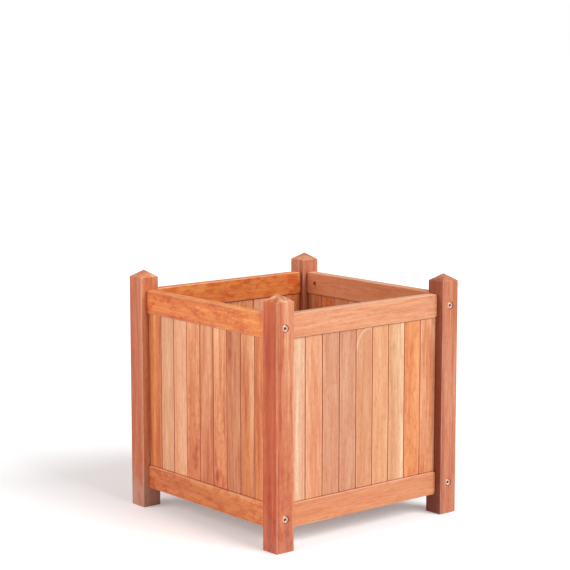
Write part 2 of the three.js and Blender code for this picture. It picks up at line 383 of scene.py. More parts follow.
def make_growth_rings():
    tree, given, result = new_group(
        "growth rings",
        {"Vector": "Place, Heart, Seed", "Float": "Lean, Taper, Spacing, Sap starts, Wander, Push"},
        {"Float": "Ring, Sap"},
    )
    shifted = vector(tree, "ADD", given["Place"], given["Seed"])
    cloud = noise(tree, shifted, WANDER_SCALE, detail=1.5)["Color"]
    shake = vector(tree, "SUBTRACT", cloud, NOISE_AVERAGE)
    wander = put(tree, "VectorMath", {0: shake, "Scale": given["Wander"]}, operation="SCALE")
    from_heart = vector(tree, "SUBTRACT", given["Place"], given["Heart"])
    shaken = split(tree, vector(tree, "ADD", from_heart, wander.outputs["Vector"]))
    height = split(tree, given["Place"])["Z"]
    leaning = calc(tree, "SUBTRACT", shaken["X"], calc(tree, "MULTIPLY", height, given["Lean"]))
    across = put(tree, "CombineXYZ", {"X": leaning, "Y": shaken["Y"]}).outputs[0]
    radius = vector(tree, "LENGTH", across)
    radius = calc(tree, "MULTIPLY_ADD", height, given["Taper"], radius)
    radius = calc(tree, "ADD", radius, given["Push"])
    count = calc(tree, "DIVIDE", radius, given["Spacing"])
    bands = noise_along(tree, count, scale=1.0, detail=2.5, roughness=0.6)
    tree.links.new(soft_step(tree, bands, *RING_STEP), result["Ring"])
    past = calc(tree, "SUBTRACT", radius, given["Sap starts"])
    tree.links.new(soft_step(tree, past, -SAP_BLEND, SAP_BLEND), result["Sap"])
    return tree


growth_rings = make_growth_rings()
print("growth rings:", len(growth_rings.nodes), "nodes")

# %% [markdown]
# ## Fibres, pores and streaks
# Over the rings lie finer things: fibres that run the whole length, short dark flecks and pores,
# dark streaks where oil has settled, and pale ones where the fibres catch the light. They are all
# the same noise, stretched along the grain by different amounts. A narrow step makes a streak
# stand out, and a wide one lets it melt into its surroundings. Clouds are stretched least, and
# give the blotches of wood that has stood in the rain.

# %% Fibres
GRAIN_NOISES = {
    # cycles a metre across and along the grain, detail, roughness, the step from 0 to 1, and
    # whether it is mirrored, so that two of a kind don't fall together
    "Fibre": (220, 12, 5, 0.75, (0.37, 0.63), False),
    "Dark streak": (52, 2.4, 4, 0.6, (0.49, 0.64), False),
    "Pale streak": (46, 2.0, 4, 0.6, (0.49, 0.64), True),
    "Fleck": (240, 70, 2, 0.6, (0.52, 0.66), True),
    "Pore": (1500, 95, 1, 0.5, (0.55, 0.75), False),
    "Cloud": (64, 28, 5, 0.72, (0.46, 0.60), True),
}


def make_fibres():
    masks = {"Float": ", ".join(GRAIN_NOISES)}
    tree, given, result = new_group("fibres", {"Vector": "Place, Seed"}, masks)
    shifted = vector(tree, "ADD", given["Place"], given["Seed"])
    reflected = vector(tree, "SUBTRACT", given["Seed"], given["Place"])
    for name, (across, along, detail, roughness, step, mirrored) in GRAIN_NOISES.items():
        place = reflected if mirrored else shifted
        grain = noise(tree, place, (across, across, along), detail, roughness)["Fac"]
        tree.links.new(soft_step(tree, grain, *step), result[name])
    return tree


fibres = make_fibres()
print("fibres:", len(fibres.nodes), "nodes")

# %% [markdown]
# ## Knots
# A knot is where a branch left the trunk. It is dark in the middle, and the rings bend round it,
# so the group gives both a mask for the colour and a push for the rings. A little noise keeps its
# outline from being a plain oval.

# %% Knots
KNOT_SHAPE = (1, 0, 0.34)  # a knot is three times as long as it is wide, and goes right through
RAGGED_SCALE = (150, 150, 40)  # cycles a metre
RAGGED_BY = 2.4  # how far the noise moves the outline, in sizes of the knot
KNOT_REACH = 0.35  # how fast the bend of the rings dies away
KNOT_SWELL = 0.9  # how far the rings bend, in sizes of the knot


def make_knot():
    inputs = {"Vector": "Place, Centre", "Float": "Size"}
    tree, given, result = new_group("knot", inputs, {"Float": "Dark, Push"})
    away = vector(tree, "SUBTRACT", given["Place"], given["Centre"])
    distance = vector(tree, "LENGTH", vector(tree, "MULTIPLY", away, KNOT_SHAPE))
    share = calc(tree, "DIVIDE", distance, given["Size"])
    ragged = noise(tree, given["Place"], RAGGED_SCALE, detail=4, roughness=0.7)["Fac"]
    uneven = calc(tree, "MULTIPLY_ADD", ragged, RAGGED_BY, -RAGGED_BY / 2)
    outline = calc(tree, "ADD", share, uneven)
    tree.links.new(soft_step(tree, outline, 0.0, 1.0, 1.0, 0.0), result["Dark"])
    squared = calc(tree, "MULTIPLY", share, share)
    swell = calc(tree, "EXPONENT", calc(tree, "MULTIPLY", squared, -KNOT_REACH))
    push = calc(tree, "MULTIPLY", calc(tree, "MULTIPLY", swell, given["Size"]), KNOT_SWELL)
    tree.links.new(push, result["Push"])
    return tree


knot = make_knot()
print("knot:", len(knot.nodes), "nodes")

# %% [markdown]
# ## Arrises
# Hands, feet and weather rub the oil off the edges of a piece first, and the pale edge that this
# leaves is also a painted highlight along the arris. On a box the distance to the nearest edge is
# easy: of the three distances to the faces, the smallest is nought on the surface, and the second
# smallest is the distance to an edge. A board's V joint is dirty up to its inset, and pale on the
# arris just past it, rubbed and painted highlight. A post has no joint, so its inset is nought and
# the very corner is pale. Where a board's ends are housed in the rails, a painted shadow lies along
# the rail's edge, so the group is told how deep they go.

# %% Arrises
JOINT_BLEND = 0.4 * MM  # the dirt in a joint and the painted shadow along the rails end softly
# the pale band on an arris, from rubbed oil and a painted highlight
RUBBED_AND_HIGHLIT_START = 0.3 * MM
RUBBED_AND_HIGHLIT_END = (0.8 * MM, 2.4 * MM)


def make_arris():
    inputs = {"Vector": "Place, Half size", "Float": "Inset, Housed"}
    tree, given, result = new_group("arris", inputs, {"Float": "Joint, Rubbed"})
    from_middle = vector(tree, "ABSOLUTE", given["Place"])
    x, y, z = split(tree, vector(tree, "SUBTRACT", given["Half size"], from_middle))
    smaller = calc(tree, "MINIMUM", x, y)
    larger = calc(tree, "MAXIMUM", x, y)
    second = calc(tree, "MAXIMUM", smaller, calc(tree, "MINIMUM", larger, z))
    past_joint = calc(tree, "SUBTRACT", second, given["Inset"])
    # where a board goes into a rail, a painted shadow lies along the rail's edge
    past_housing = calc(tree, "SUBTRACT", z, given["Housed"])
    past = calc(tree, "MINIMUM", past_joint, past_housing)
    tree.links.new(soft_step(tree, past, 0.0, JOINT_BLEND, 1.0, 0.0), result["Joint"])
    begins = soft_step(tree, past, 0.0, RUBBED_AND_HIGHLIT_START)
    ends = soft_step(tree, past, *RUBBED_AND_HIGHLIT_END, 1.0, 0.0)
    tree.links.new(calc(tree, "MULTIPLY", begins, ends), result["Rubbed"])
    return tree


arris = make_arris()
print("arris:", len(arris.nodes), "nodes")

# %% [markdown]
# ## What each effect does to a tone
# A streak, a pore or a knot doesn't have a colour of its own. It makes the wood that it lies on
# lighter or darker, and it does so more in the blue than in the red, because that is what oil and
# late wood take away. So such an effect is a tint, a share of red, green and blue that the tone is
# multiplied by. Only wood that has lost its oil, or that is wet, has a colour of its own, and the
# pale colour of an edge that has lost its oil also paints a highlight on it.

# %% Tints
PALE = (1.18, 1.53, 1.80)  # fibres that catch the light, sapwood, and what the sun bleaches
SHADE = (0.78, 0.50, 0.36)  # late wood, streaks of oil, dirt in a joint, and the painted shadow along the rails
BLUSH = (0.84, 0.52, 0.36)  # red heart that shows in blotches
KNOT = (0.66, 0.36, 0.24)  # a branch, sawn across
DEEP = (0.35, 0.17, 0.11)  # pores
BARE_WOOD_AND_HIGHLIGHT = (0.75, 0.50, 0.38)  # the colour of an edge that has lost its oil, and of a painted highlight on it
DAMP_WOOD = (0.52, 0.29, 0.22)  # and of a foot that stands in the wet

FIBRE_STRENGTH = 0.6
FLECK_STRENGTH = 0.3
PORE_STRENGTH = 0.16
SKYWARD = (0.4, 0.85)  # how far a face has to look up for the sun to bleach it
DAMP_HEIGHT = 0.13  # metres above the ground
DAMP_RAGGED = 0.05
WORN_AND_HIGHLIT_LEAST = 0.5  # how much of a rubbed and highlit edge shows between the fibres
OILED_ROUGHNESS = 0.44
FIBRE_ROUGHER = 0.12
END_GRAIN_ROUGHER = 0.15
WORN_ROUGHER = 0.1
ALONG_GRAIN = (0.35, 0.85)  # how far a face has to look along the grain to be end grain
RING_SUNK = 0.4  # late wood and pores lie lower, in shares of the height of a fibre
PORE_SUNK = 0.8


def stain(tree, share, colour, tint):
    """Multiplies a colour by a tint as far as the share says."""
    return mix(tree, share, colour, (*tint, 1), mode="MULTIPLY")


# %% [markdown]
# ## Oiled hardwood
# One group puts the effects together and gives the colour, the roughness and the height of the
# surface. Each piece sends in its own tones, log and seed. A tone drifts a little from one end of
# a log to the other. Then come the marks of use and painted light: faces that look at the sky are
# bleached by the sun, edges are rubbed pale where hands reach them and painted with a highlight,
# joints between two boards are grimed, a painted shadow lies along the rails, and the foot of a
# post is greyed by damp.

# %% Oiled hardwood
def make_oiled_hardwood():
    tree, given, result = new_group(
        "oiled hardwood",
        {
            "Vector": "Place, Facing, Along, Half size, Heart, Seed, Knot",
            "Color": "Heartwood, Sapwood",
            "Float": "Lean, Taper, Spacing, Sap starts, Wander, Rings, Streaks, Mottle, Drift, "
                     "Knot size, Knot depth, Inset, Housed, Rubbed, Grime, Bleach, Damp",
        },
        {"Color": "Color", "Float": "Roughness, Height"},
    )

    def times(first, second):
        return calc(tree, "MULTIPLY", first, second)

    branch = use(tree, knot, given, Centre=given["Knot"], Size=given["Knot size"])
    log = use(tree, growth_rings, given, Push=branch["Push"])
    fine = use(tree, fibres, given)
    edge = use(tree, arris, given)
    upward = split(tree, given["Facing"])["Z"]
    height = split(tree, given["Place"])["Z"]
    half_height = split(tree, given["Half size"])["Z"]
    drift = times(calc(tree, "DIVIDE", height, half_height), given["Drift"])
    blotches = times(given["Mottle"], calc(tree, "SUBTRACT", 1.0, drift))

    colour = mix(tree, log["Sap"], given["Heartwood"], given["Sapwood"])
    for share, tint in (
        (calc(tree, "MAXIMUM", drift, 0.0), PALE),
        (calc(tree, "MAXIMUM", times(drift, -1.0), 0.0), BLUSH),
        (times(fine["Pale streak"], given["Streaks"]), PALE),
        (times(fine["Dark streak"], given["Streaks"]), SHADE),
        (times(log["Ring"], given["Rings"]), SHADE),
        (times(fine["Cloud"], blotches), BLUSH),
        (times(fine["Fibre"], FIBRE_STRENGTH), PALE),
        (times(fine["Fleck"], FLECK_STRENGTH), SHADE),
        (times(fine["Pore"], PORE_STRENGTH), DEEP),
        (times(branch["Dark"], given["Knot depth"]), KNOT),
        (times(soft_step(tree, upward, *SKYWARD), given["Bleach"]), PALE),
    ):
        colour = stain(tree, share, colour, tint)

    # edges pale from rubbed oil, and a painted highlight on them
    worn_and_highlit = times(edge["Rubbed"], soft_step(tree, fine["Fibre"], 0.0, 1.0, WORN_AND_HIGHLIT_LEAST, 1.0))
    colour = mix(tree, times(worn_and_highlit, given["Rubbed"]), colour, (*BARE_WOOD_AND_HIGHLIGHT, 1))
    # dirt in the V joints, and a painted shadow along the rails
    colour = stain(tree, times(edge["Joint"], given["Grime"]), colour, SHADE)
    from_ground = calc(tree, "ADD", height, half_height)
    from_ground = calc(tree, "MULTIPLY_ADD", fine["Cloud"], DAMP_RAGGED, from_ground)
    damp = times(soft_step(tree, from_ground, 0.0, DAMP_HEIGHT, 1.0, 0.0), given["Damp"])
    colour = mix(tree, damp, colour, (*DAMP_WOOD, 1))
    tree.links.new(colour, result["Color"])

    aligned = calc(tree, "ABSOLUTE", vector(tree, "DOT_PRODUCT", given["Facing"], given["Along"]))
    end_grain = soft_step(tree, aligned, *ALONG_GRAIN)
    rough = calc(tree, "MULTIPLY_ADD", fine["Fibre"], FIBRE_ROUGHER, OILED_ROUGHNESS)
    rough = calc(tree, "MULTIPLY_ADD", end_grain, END_GRAIN_ROUGHER, rough)
    tree.links.new(calc(tree, "MULTIPLY_ADD", worn_and_highlit, WORN_ROUGHER, rough), result["Roughness"])
    relief = calc(tree, "MULTIPLY_ADD", log["Ring"], -RING_SUNK, fine["Fibre"])
    tree.links.new(calc(tree, "MULTIPLY_ADD", fine["Pore"], -PORE_SUNK, relief), result["Height"])
    return tree


oiled_hardwood = make_oiled_hardwood()
print("oiled hardwood:", len(oiled_hardwood.nodes), "nodes")

# %% [markdown]
# ## Tones
# The boards of such a planter are never sorted by colour, and that is most of its charm. A few
# named tones are enough, because the logs differ too. A screen colour is brighter than the number
# that light is reckoned with, so the tones are written as web colours and turned into linear
# light. The left, the back and the right have a tint over all their tones, which is painted warm
# light.

# %% Tones
TONES = {
    "cream": "d8a681",
    "tan": "d3986c",
    "golden": "d49567",
    "orange": "d48852",
    "salmon": "cf8b61",
    "grey_pink": "c38462",
    "brown": "c48058",
    "post": "bd6f4b",
    "post_red": "be5523",
    "post_pale": "c2724a",
    # the tone of a post in painted shade
    "post_dark": "93492f",
    "rail": "cc7f53",
    "rail_pale": "d18b61",
    "rail_red": "d98643",
    "rail_dull": "cd8149",
    "floor": "b0784f",
}
AS_IT_IS = (1, 1, 1)
WARM_PAINTED_LIGHT = (1.04, 0.88, 0.76)  # painted warm light on the left and back, the sides that face the warm fill lamp
MILD_PAINTED_WARMTH = (1.04, 0.96, 0.90)  # a milder painted warm light on the right, which the warm lamp doesn't reach


def linear(web_colour):
    """A web colour such as e3b487 as linear red, green and blue."""
    parts = [int(web_colour[i:i + 2], 16) / 255 for i in (0, 2, 4)]
    return [p / 12.92 if p <= 0.04045 else ((p + 0.055) / 1.055) ** 2.4 for p in parts]


def tinted(colour, tint):
    """A linear colour times a tint, with an alpha of 1."""
    return (*[channel * share for channel, share in zip(colour, tint)], 1)


print("tones:", ", ".join(sorted(TONES)))

# %% [markdown]
# ## The logs
# A piece's log is drawn by lot within the limits of its figure, with the piece's name as the seed,
# so it is the same log on every run. A few pieces have a log of their own, because something about
# them catches the eye: a knot, a pale edge of sapwood, a swirl, or a face cut close to the red
# heart. On the front right post that dark red face is painted shade. What is known of such a log
# is said here, in the piece's own frame, and the lot gives the rest.

# %% Logs
FIGURES = {
    # off is how far away the heart lies, and spacing is that of the rings, in metres
    "straight": dict(off=(0.14, 0.26), spacing=0.0035, rings=0.30, streaks=0.35, mottle=0.12),
    "arched": dict(off=(0.02, 0.05), spacing=0.0060, rings=0.40, streaks=0.35, mottle=0.15),
    "streaky": dict(off=(0.10, 0.20), spacing=0.0050, rings=0.35, streaks=0.85, mottle=0.25),
    "mottled": dict(off=(0.08, 0.16), spacing=0.0060, rings=0.30, streaks=0.50, mottle=0.90),
    "calm": dict(off=(0.16, 0.30), spacing=0.0045, rings=0.20, streaks=0.25, mottle=0.10),
    "sawn thick": dict(off=(0.06, 0.12), spacing=0.0050, rings=0.30, streaks=0.60, mottle=0.20),
}
LOT = {
    # the lot draws each of these between two limits, in this order, after off
    "swing": (-0.6, 0.6),  # radians by which the heart lies beside the middle of the face
    "value": (0.97, 1.03),
    "lean": (-0.05, 0.05),
    "taper": (0.01, 0.03),
    "wander": (0.012, 0.022),  # metres
}
SEED_REACH = 9  # metres by which a seed moves the noises
LOGS = {
    # heart is where the heart lies across and through, and sap_starts how far off the sapwood is
    # value is how light the tone is, and drift how much it changes from the bottom to the top
    # knot has its place across and along, its size and its depth of colour
    # swirl has its place across and along, its width and its height
    "post_front_left": dict(
        heart=(-0.060, 0.0), sap_starts=0.047, sapwood="post_pale", lean=0, taper=0.02,
        drift=0.6, streaks=0.9, mottle=0.45, knot=(0.003, -0.220, 0.010, 0.7),
    ),
    # its dark heartwood on the -X face is painted shade
    "post_front_right": dict(
        heart=(-0.052, 0.0), sap_starts=0.040, sapwood="post", lean=0, taper=0,
    ),
    "post_back_left": dict(heart=(-0.030, 0.050), sap_starts=0.066, lean=0, taper=0),
    "front_board_2": dict(value=1.04),
    "front_board_5": dict(value=0.93, swirl=(0.016, 0.122, 0.037, 0.044)),
    "front_board_7": dict(
        heart=(-0.080, 0.10), sap_starts=0.140, lean=0, taper=0,
        knot=(-0.005, 0.120, 0.012, 0.4),
    ),
    "front_board_8": dict(value=1.06, mottle=0.5),
    "front_board_9": dict(value=1.08, drift=0.55),
    "left_board_1": dict(value=0.95),
    "left_board_2": dict(value=0.94),
    "left_board_3": dict(value=1.07),
    "left_board_4": dict(
        value=1.05, mottle=0.65, drift=0.6, knot=(0.007, -0.118, 0.014, 0.95),
    ),
    "left_board_5": dict(drift=0.35),
    "left_board_6": dict(
        value=1.10, mottle=0.5, drift=0.8, knot=(-0.010, -0.143, 0.009, 1.0),
    ),
    "left_board_7": dict(knot=(-0.013, 0.120, 0.009, 0.8)),
    "left_board_8": dict(
        heart=(-0.10, 0.05), sap_starts=0.120, sapwood="golden", taper=0.07, value=0.89,
        drift=0.4,
    ),
    "left_board_9": dict(value=0.98, drift=0.25),
}
PLAIN_LOG = dict(sap_starts=9, drift=0.1, knot=(0, 9, 0.01, 0))  # neither sapwood nor knot
FINISH = dict(inset=0.0, housed=-1.0, rubbed=0.3, grime=0.0, bleach=0.9, damp=0.0)
OF_THE_LOG = "lean taper spacing sap_starts wander rings streaks mottle drift".split()
SWIRL_LINE = (0.02, 0.09)  # from the middle of the pale line to its edge, in sizes of the swirl
SWIRL_FADE = (-0.2, 0.3)  # where the line dies away below, in heights of the swirl


def add_swirl(tree, place, colour, across, along, width, height):
    """A pale line, the upper half of an oval, where the tree grew over a scar in its bark."""
    away = vector(tree, "SUBTRACT", place, (across, 0, along))
    x, _, z = split(tree, vector(tree, "DIVIDE", away, (width, 1, height)))
    oval = calc(tree, "SQRT", calc(tree, "MULTIPLY_ADD", x, x, calc(tree, "MULTIPLY", z, z)))
    off_line = calc(tree, "ABSOLUTE", calc(tree, "SUBTRACT", oval, 1.0))
    line = soft_step(tree, off_line, *SWIRL_LINE, 1.0, 0.0)
    upper = soft_step(tree, z, *SWIRL_FADE)
    return stain(tree, calc(tree, "MULTIPLY", line, upper), colour, PALE)


print("logs of their own:", ", ".join(LOGS))

# %% [markdown]
# ## One material for each wooden piece
# The texture's place comes from the piece's own position. A Mapping node set to Texture moves the
# middle of the piece to nought and turns its grain along Z, whichever way the piece lies in the
# planter. Everything else goes to the group as a plain value: the tones, the log, and the finish,
# which says how rubbed and highlit its edges are, how grimed its joints and how dark the painted
# shadow along the rails are, and how bleached and damp the piece is.

# %% Hardwood
BUMP_HEIGHT = 0.4 * MM
BUMP_STRENGTH = 0.35


def hardwood(name, low, high, along, through, tone, figure, tint=AS_IT_IS, **finish):
    """The material of a piece from its box and the ways its grain and its thickness run."""
    along, through = Vector(along), Vector(through)
    side = through.cross(along)
    turn = Matrix((side, through, along)).transposed()
    size = Vector(high) - Vector(low)
    lot = random.Random(name)
    off = lot.uniform(*FIGURES[figure]["off"])
    drawn = {key: lot.uniform(*limits) for key, limits in LOT.items()}
    seed = [lot.uniform(-SEED_REACH, SEED_REACH) for _ in range(3)]
    log = {**PLAIN_LOG, **drawn, **FIGURES[figure], **LOGS.get(name, {})}
    heart = log.get("heart", (off * math.sin(log["swing"]), off * math.cos(log["swing"])))
    knot_x, knot_z, knot_size, knot_depth = log["knot"]
    heartwood = tinted(linear(TONES[tone]), [log["value"] * share for share in tint])
    if "sapwood" in log:
        sapwood = tinted(linear(TONES[log["sapwood"]]), tint)
    else:
        sapwood = tinted(heartwood, PALE)
    plain = {**FINISH, **finish, **{key: log[key] for key in OF_THE_LOG}}

    material, tree, shader = new_material(f"wood_{name}")
    place = centred(tree, (Vector(low) + Vector(high)) / 2, turn.to_euler())
    wood = use(
        tree, oiled_hardwood, Place=place,
        Facing=tree.nodes.new("ShaderNodeTexCoord").outputs["Normal"], Along=along,
        Half_size=[abs(size.dot(axis)) / 2 for axis in (side, through, along)],
        Heartwood=heartwood, Sapwood=sapwood, Heart=(*heart, 0), Seed=seed,
        Knot=(knot_x, 0, knot_z), Knot_size=knot_size, Knot_depth=knot_depth,
        **{key.capitalize(): value for key, value in plain.items()},
    )
    colour = wood["Color"]
    if "swirl" in log:
        colour = add_swirl(tree, place, colour, *log["swirl"])
    rough, relief = wood["Roughness"], wood["Height"]
    finish_shader(tree, shader, colour, rough, relief, BUMP_STRENGTH, BUMP_HEIGHT)
    return material


# %% [markdown]
# ## The four sides
# The front, back, left and right are the same panel, turned about the middle of the planter. So a
# panel is thought of once, with X across it and its outer face towards -Y, and each side has a
# turn that brings it round. The sizes that the pieces share are read off the construction.

# %% The four sides
TURNS = {"front": 0, "right": 90, "back": 180, "left": 270}
FACING = {"front": 1, "back": -1}  # whether the turn swaps left and right
LEVELS = {"top": -1, "bottom": 1}  # which way the groove for the boards looks
UP = (0, 0, 1)
JOINT_GAP = 0.3 * MM


def turn_of(side):
    return Matrix.Rotation(math.radians(TURNS[side]), 4, "Z")


post_low, post_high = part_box("post_front_left")
rail_low, rail_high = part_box("front_top_rail")
board_low, board_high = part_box("front_board_5")
POST_SIZE = post_high.x - post_low.x
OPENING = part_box("post_front_right")[0].x - post_high.x
RAIL_HEIGHT = rail_high.z - rail_low.z
RAIL_THICKNESS = rail_high.y - rail_low.y
BOARD_THICKNESS = board_high.y - board_low.y
half_post = POST_SIZE / 2
rail_z = {level: sum(corner.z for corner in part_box(f"front_{level}_rail")) / 2 for level in LEVELS}
print("posts:", round(POST_SIZE / MM, 1), "mm, between them:", round(OPENING / MM, 1), "mm")

# %% [markdown]
# ## Posts
# A post starts as a plain block. Its four upright edges are rounded, and the foot gets a small
# bevel so that it doesn't splinter. For the cap, the top face is pulled up and merged into one
# point, which gives the four slopes that a saw would cut. Then the holes for the bolts and the
# mortises for the rails' tenons are cut, and last every sharp edge is eased.

# %% One post
CORNER_RADIUS = 2.5 * MM
FOOT_BEVEL = 1.5 * MM
CAP_RISE = 15 * MM
COUNTERBORE_RADIUS = 8.25 * MM
COUNTERBORE_DEPTH = 3.5 * MM
BOLT_HOLE_RADIUS = 3.3 * MM
TENON_THICKNESS = 10 * MM
TENON_HEIGHT = 29.7 * MM
TENON_LENGTH = 15.2 * MM
GROOVE_DEPTH = 8.3 * MM
POST_EASE = 0.5 * MM


def tenon_box(level, x_ends, room):
    """Two corners of a tenon between two places along its rail, seen from the rail's middle."""
    from_x, to_x = sorted(x_ends)
    z = -LEVELS[level] * GROOVE_DEPTH / 2
    half_thickness, half_height = TENON_THICKNESS / 2 + room, TENON_HEIGHT / 2 + room
    low = Vector((from_x, -half_thickness, z - half_height))
    return low, Vector((to_x, half_thickness, z + half_height))


def corner_post(name, inward):
    """A post at x = 0, y = 0. Its bolts' heads look along -Y, its mortises towards +X or -X."""
    shoulder = post_high.z - CAP_RISE
    piece = block(name, (-half_post, -half_post, 0), (half_post, half_post, shoulder))
    pick(piece, "edges", runs_along(2))
    bpy.ops.mesh.bevel(offset=CORNER_RADIUS, segments=5, affect="EDGES")
    pick(piece, "edges", lambda edge: middle(edge).z < TOUCH)
    bpy.ops.mesh.bevel(offset=FOOT_BEVEL, segments=2, affect="EDGES")
    pick(piece, "faces", lambda face: face.normal.z > PARALLEL)
    bpy.ops.mesh.extrude_region_move(TRANSFORM_OT_translate={"value": (0, 0, CAP_RISE)})
    bpy.ops.mesh.merge(type="CENTER")
    bpy.ops.object.mode_set(mode="OBJECT")
    seat = -half_post + COUNTERBORE_DEPTH
    mortise_end = half_post - TENON_LENGTH - JOINT_GAP
    rail_line = (rail_low.y + rail_high.y) / 2 - (post_low.y + half_post)
    tools = []
    for level, z in rail_z.items():
        outside, inside = (0, -half_post - MM, z), (0, half_post + MM, z)
        tools += [
            rod("counterbore", COUNTERBORE_RADIUS, outside, (0, seat, z)),
            rod("bolt_hole", BOLT_HOLE_RADIUS, (0, seat - MM, z), inside, HOLE_SIDES),
        ]
        x_ends = (inward * mortise_end, inward * (half_post + MM))
        low, high = tenon_box(level, x_ends, JOINT_GAP)
        rail_middle = Vector((0, rail_line, z))
        tools.append(block("mortise", low + rail_middle, high + rail_middle))
    combine(piece, tools, "DIFFERENCE")
    ease(piece, POST_EASE)
    return piece


post_masters = {1: corner_post("post_for_the_left", 1), -1: corner_post("post_for_the_right", -1)}
print("a post has", len(post_masters[1].data.polygons), "faces")

# %% Four posts
HANDLED_AND_HIGHLIT = 0.5  # how rubbed the edges of posts and rails are, worn pale and painted with a highlight
POST_LOOKS = {
    # tone, tint, how bleached its cap is and how damp its foot
    "post_front_left": ("post_red", AS_IT_IS, 0.9, 0.2),
    # this post's dark tone and its less bleached cap are painted shade
    "post_front_right": ("post_dark", AS_IT_IS, 0.6, 0.1),
    # this post's tint is painted warm light
    "post_back_left": ("post", WARM_PAINTED_LIGHT, 0.9, 0.8),
    "post_back_right": ("post", AS_IT_IS, 0.9, 0.4),
}
for side, facing in FACING.items():
    for hand in ("left", "right"):
        node = f"post_{side}_{hand}"
        low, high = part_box(node)
        centre = (low + high) / 2
        # turned to the back, the left-hand post of the front comes out on the right
        inward = (1 if centre.x < 0 else -1) * facing
        place = Matrix.Translation((centre.x, centre.y, 0)) @ turn_of(side)
        tone, tint, bleach, damp = POST_LOOKS[node]
        piece = copy_of(post_masters[inward], f"corner_{node}", place)
        wood = hardwood(
            node, low, high, UP, (0, 1, 0), tone, "sawn thick", tint,
            rubbed=HANDLED_AND_HIGHLIT, bleach=bleach, damp=damp,
        )
        stand_for(piece, wood, [node], "planter_box")
        print(piece.name, "is off by", round(off_by(piece, node), 3), "mm")
for master in post_masters.values():
    bpy.data.objects.remove(master)

# %% [markdown]
# ## Rails
# A rail has rounded corners where it meets the posts, and a softened arris all round both faces.
# The rails of the front and back end in tenons that are glued into the posts. Those of the left
# and right have no tenons: a bolt comes in from each end, and a barrel nut waits for it in a hole
# that opens on the inside.

# %% One rail
RAIL_END_RADIUS = 6 * MM
RAIL_ARRIS = 2 * MM
RAIL_EASE = 0.4 * MM
TENON_ROOT = 10 * MM  # part of a tenon's block that lies inside its rail
NUT_INSET = 28 * MM
NUT_HOLE_RADIUS = 5.3 * MM
NUT_LENGTH = 14 * MM
BOLT_REACH = 37 * MM

side_rail_x = sum(corner.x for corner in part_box("right_top_rail")) / 2
bolt_line = side_rail_x + post_high.x - half_post  # from a side rail's middle to its bolts


def bolt_tools(end, half):
    """What cuts the holes for a bolt and its nut from one end of a rail."""
    start = (end * (half.x + MM), bolt_line, 0)
    stop = (end * (OPENING / 2 - BOLT_REACH), bolt_line, 0)
    nut_x = end * (OPENING / 2 - NUT_INSET)
    nut_from, nut_to = (nut_x, -NUT_LENGTH / 2 - JOINT_GAP, 0), (nut_x, half.y + MM, 0)
    return [
        rod("bolt_hole", BOLT_HOLE_RADIUS, start, stop, HOLE_SIDES),
        rod("nut_hole", NUT_HOLE_RADIUS, nut_from, nut_to),
    ]


def rail(name, level, bolted):
    """A rail with its middle at the origin, running along X, with its outer face towards -Y."""
    half = Vector((OPENING / 2 - JOINT_GAP, RAIL_THICKNESS / 2, RAIL_HEIGHT / 2))
    piece = block(name, -half, half)
    pick(piece, "edges", runs_along(1))
    bpy.ops.mesh.bevel(offset=RAIL_END_RADIUS, segments=6, affect="EDGES")
    pick(piece, "edges", lambda edge: abs(abs(middle(edge).y) - half.y) < TOUCH)
    bpy.ops.mesh.bevel(offset=RAIL_ARRIS, segments=4, affect="EDGES")
    bpy.ops.object.mode_set(mode="OBJECT")
    up = LEVELS[level]
    groove = BOARD_THICKNESS / 2 + JOINT_GAP
    from_z, to_z = sorted((up * (half.z + MM), up * (half.z - GROOVE_DEPTH)))
    tools = [block("groove", (-OPENING, -groove, from_z), (OPENING, groove, to_z))]
    tenons = []
    for end in (-1, 1):
        if bolted:
            tools += bolt_tools(end, half)
        else:
            x_ends = (end * (half.x - TENON_ROOT), end * (half.x + TENON_LENGTH + JOINT_GAP))
            tenons.append(block("tenon", *tenon_box(level, x_ends, 0)))
    combine(piece, tools, "DIFFERENCE")
    combine(piece, tenons, "UNION")
    ease(piece, RAIL_EASE)
    return piece


# %% Eight rails
# the tints of the left, back and right rails are painted warm light
RAIL_LOOKS = {
    # tone of the top and the bottom rail, figure and tint
    "front": ({"top": "rail_pale", "bottom": "rail"}, "calm", AS_IT_IS),
    "right": ({"top": "rail_pale", "bottom": "rail"}, "calm", MILD_PAINTED_WARMTH),
    "back": ({"top": "rail_red", "bottom": "rail_dull"}, "mottled", WARM_PAINTED_LIGHT),
    "left": ({"top": "rail_red", "bottom": "rail_dull"}, "mottled", WARM_PAINTED_LIGHT),
}
for bolted, sides in ((False, ("front", "back")), (True, ("left", "right"))):
    for level in LEVELS:
        master = rail("rail", level, bolted)
        for side in sides:
            node = f"{side}_{level}_rail"
            low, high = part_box(node)
            turn = turn_of(side)
            place = Matrix.Translation((low + high) / 2) @ turn
            piece = copy_of(master, f"rail_{side}_{level}", place)
            if not bolted:
                low.x, high.x = -OPENING / 2, OPENING / 2
            tones, figure, tint = RAIL_LOOKS[side]
            along, through = turn @ Vector((1, 0, 0)), turn @ Vector((0, 1, 0))
            wood = hardwood(
                node, low, high, along, through, tones[level], figure, tint, rubbed=HANDLED_AND_HIGHLIT,
            )
            stand_for(piece, wood, [node], "planter_box")
            print(piece.name, "is off by", round(off_by(piece, node), 3), "mm")
        bpy.data.objects.remove(master)

# %% [markdown]
# ## Boards
# A tongue-and-groove board is a section pulled along its length. The section starts as a flat
# plane: bisect marks the tongue's thickness on it, the middle strip is pushed out into a tongue on
# one side and taken away for the groove on the other, the two outer corners are cut off for the V
# joint, and extrude makes it a board. The first board of a panel has no groove and the last has no
# tongue, so three boards are made and the rest are copies.

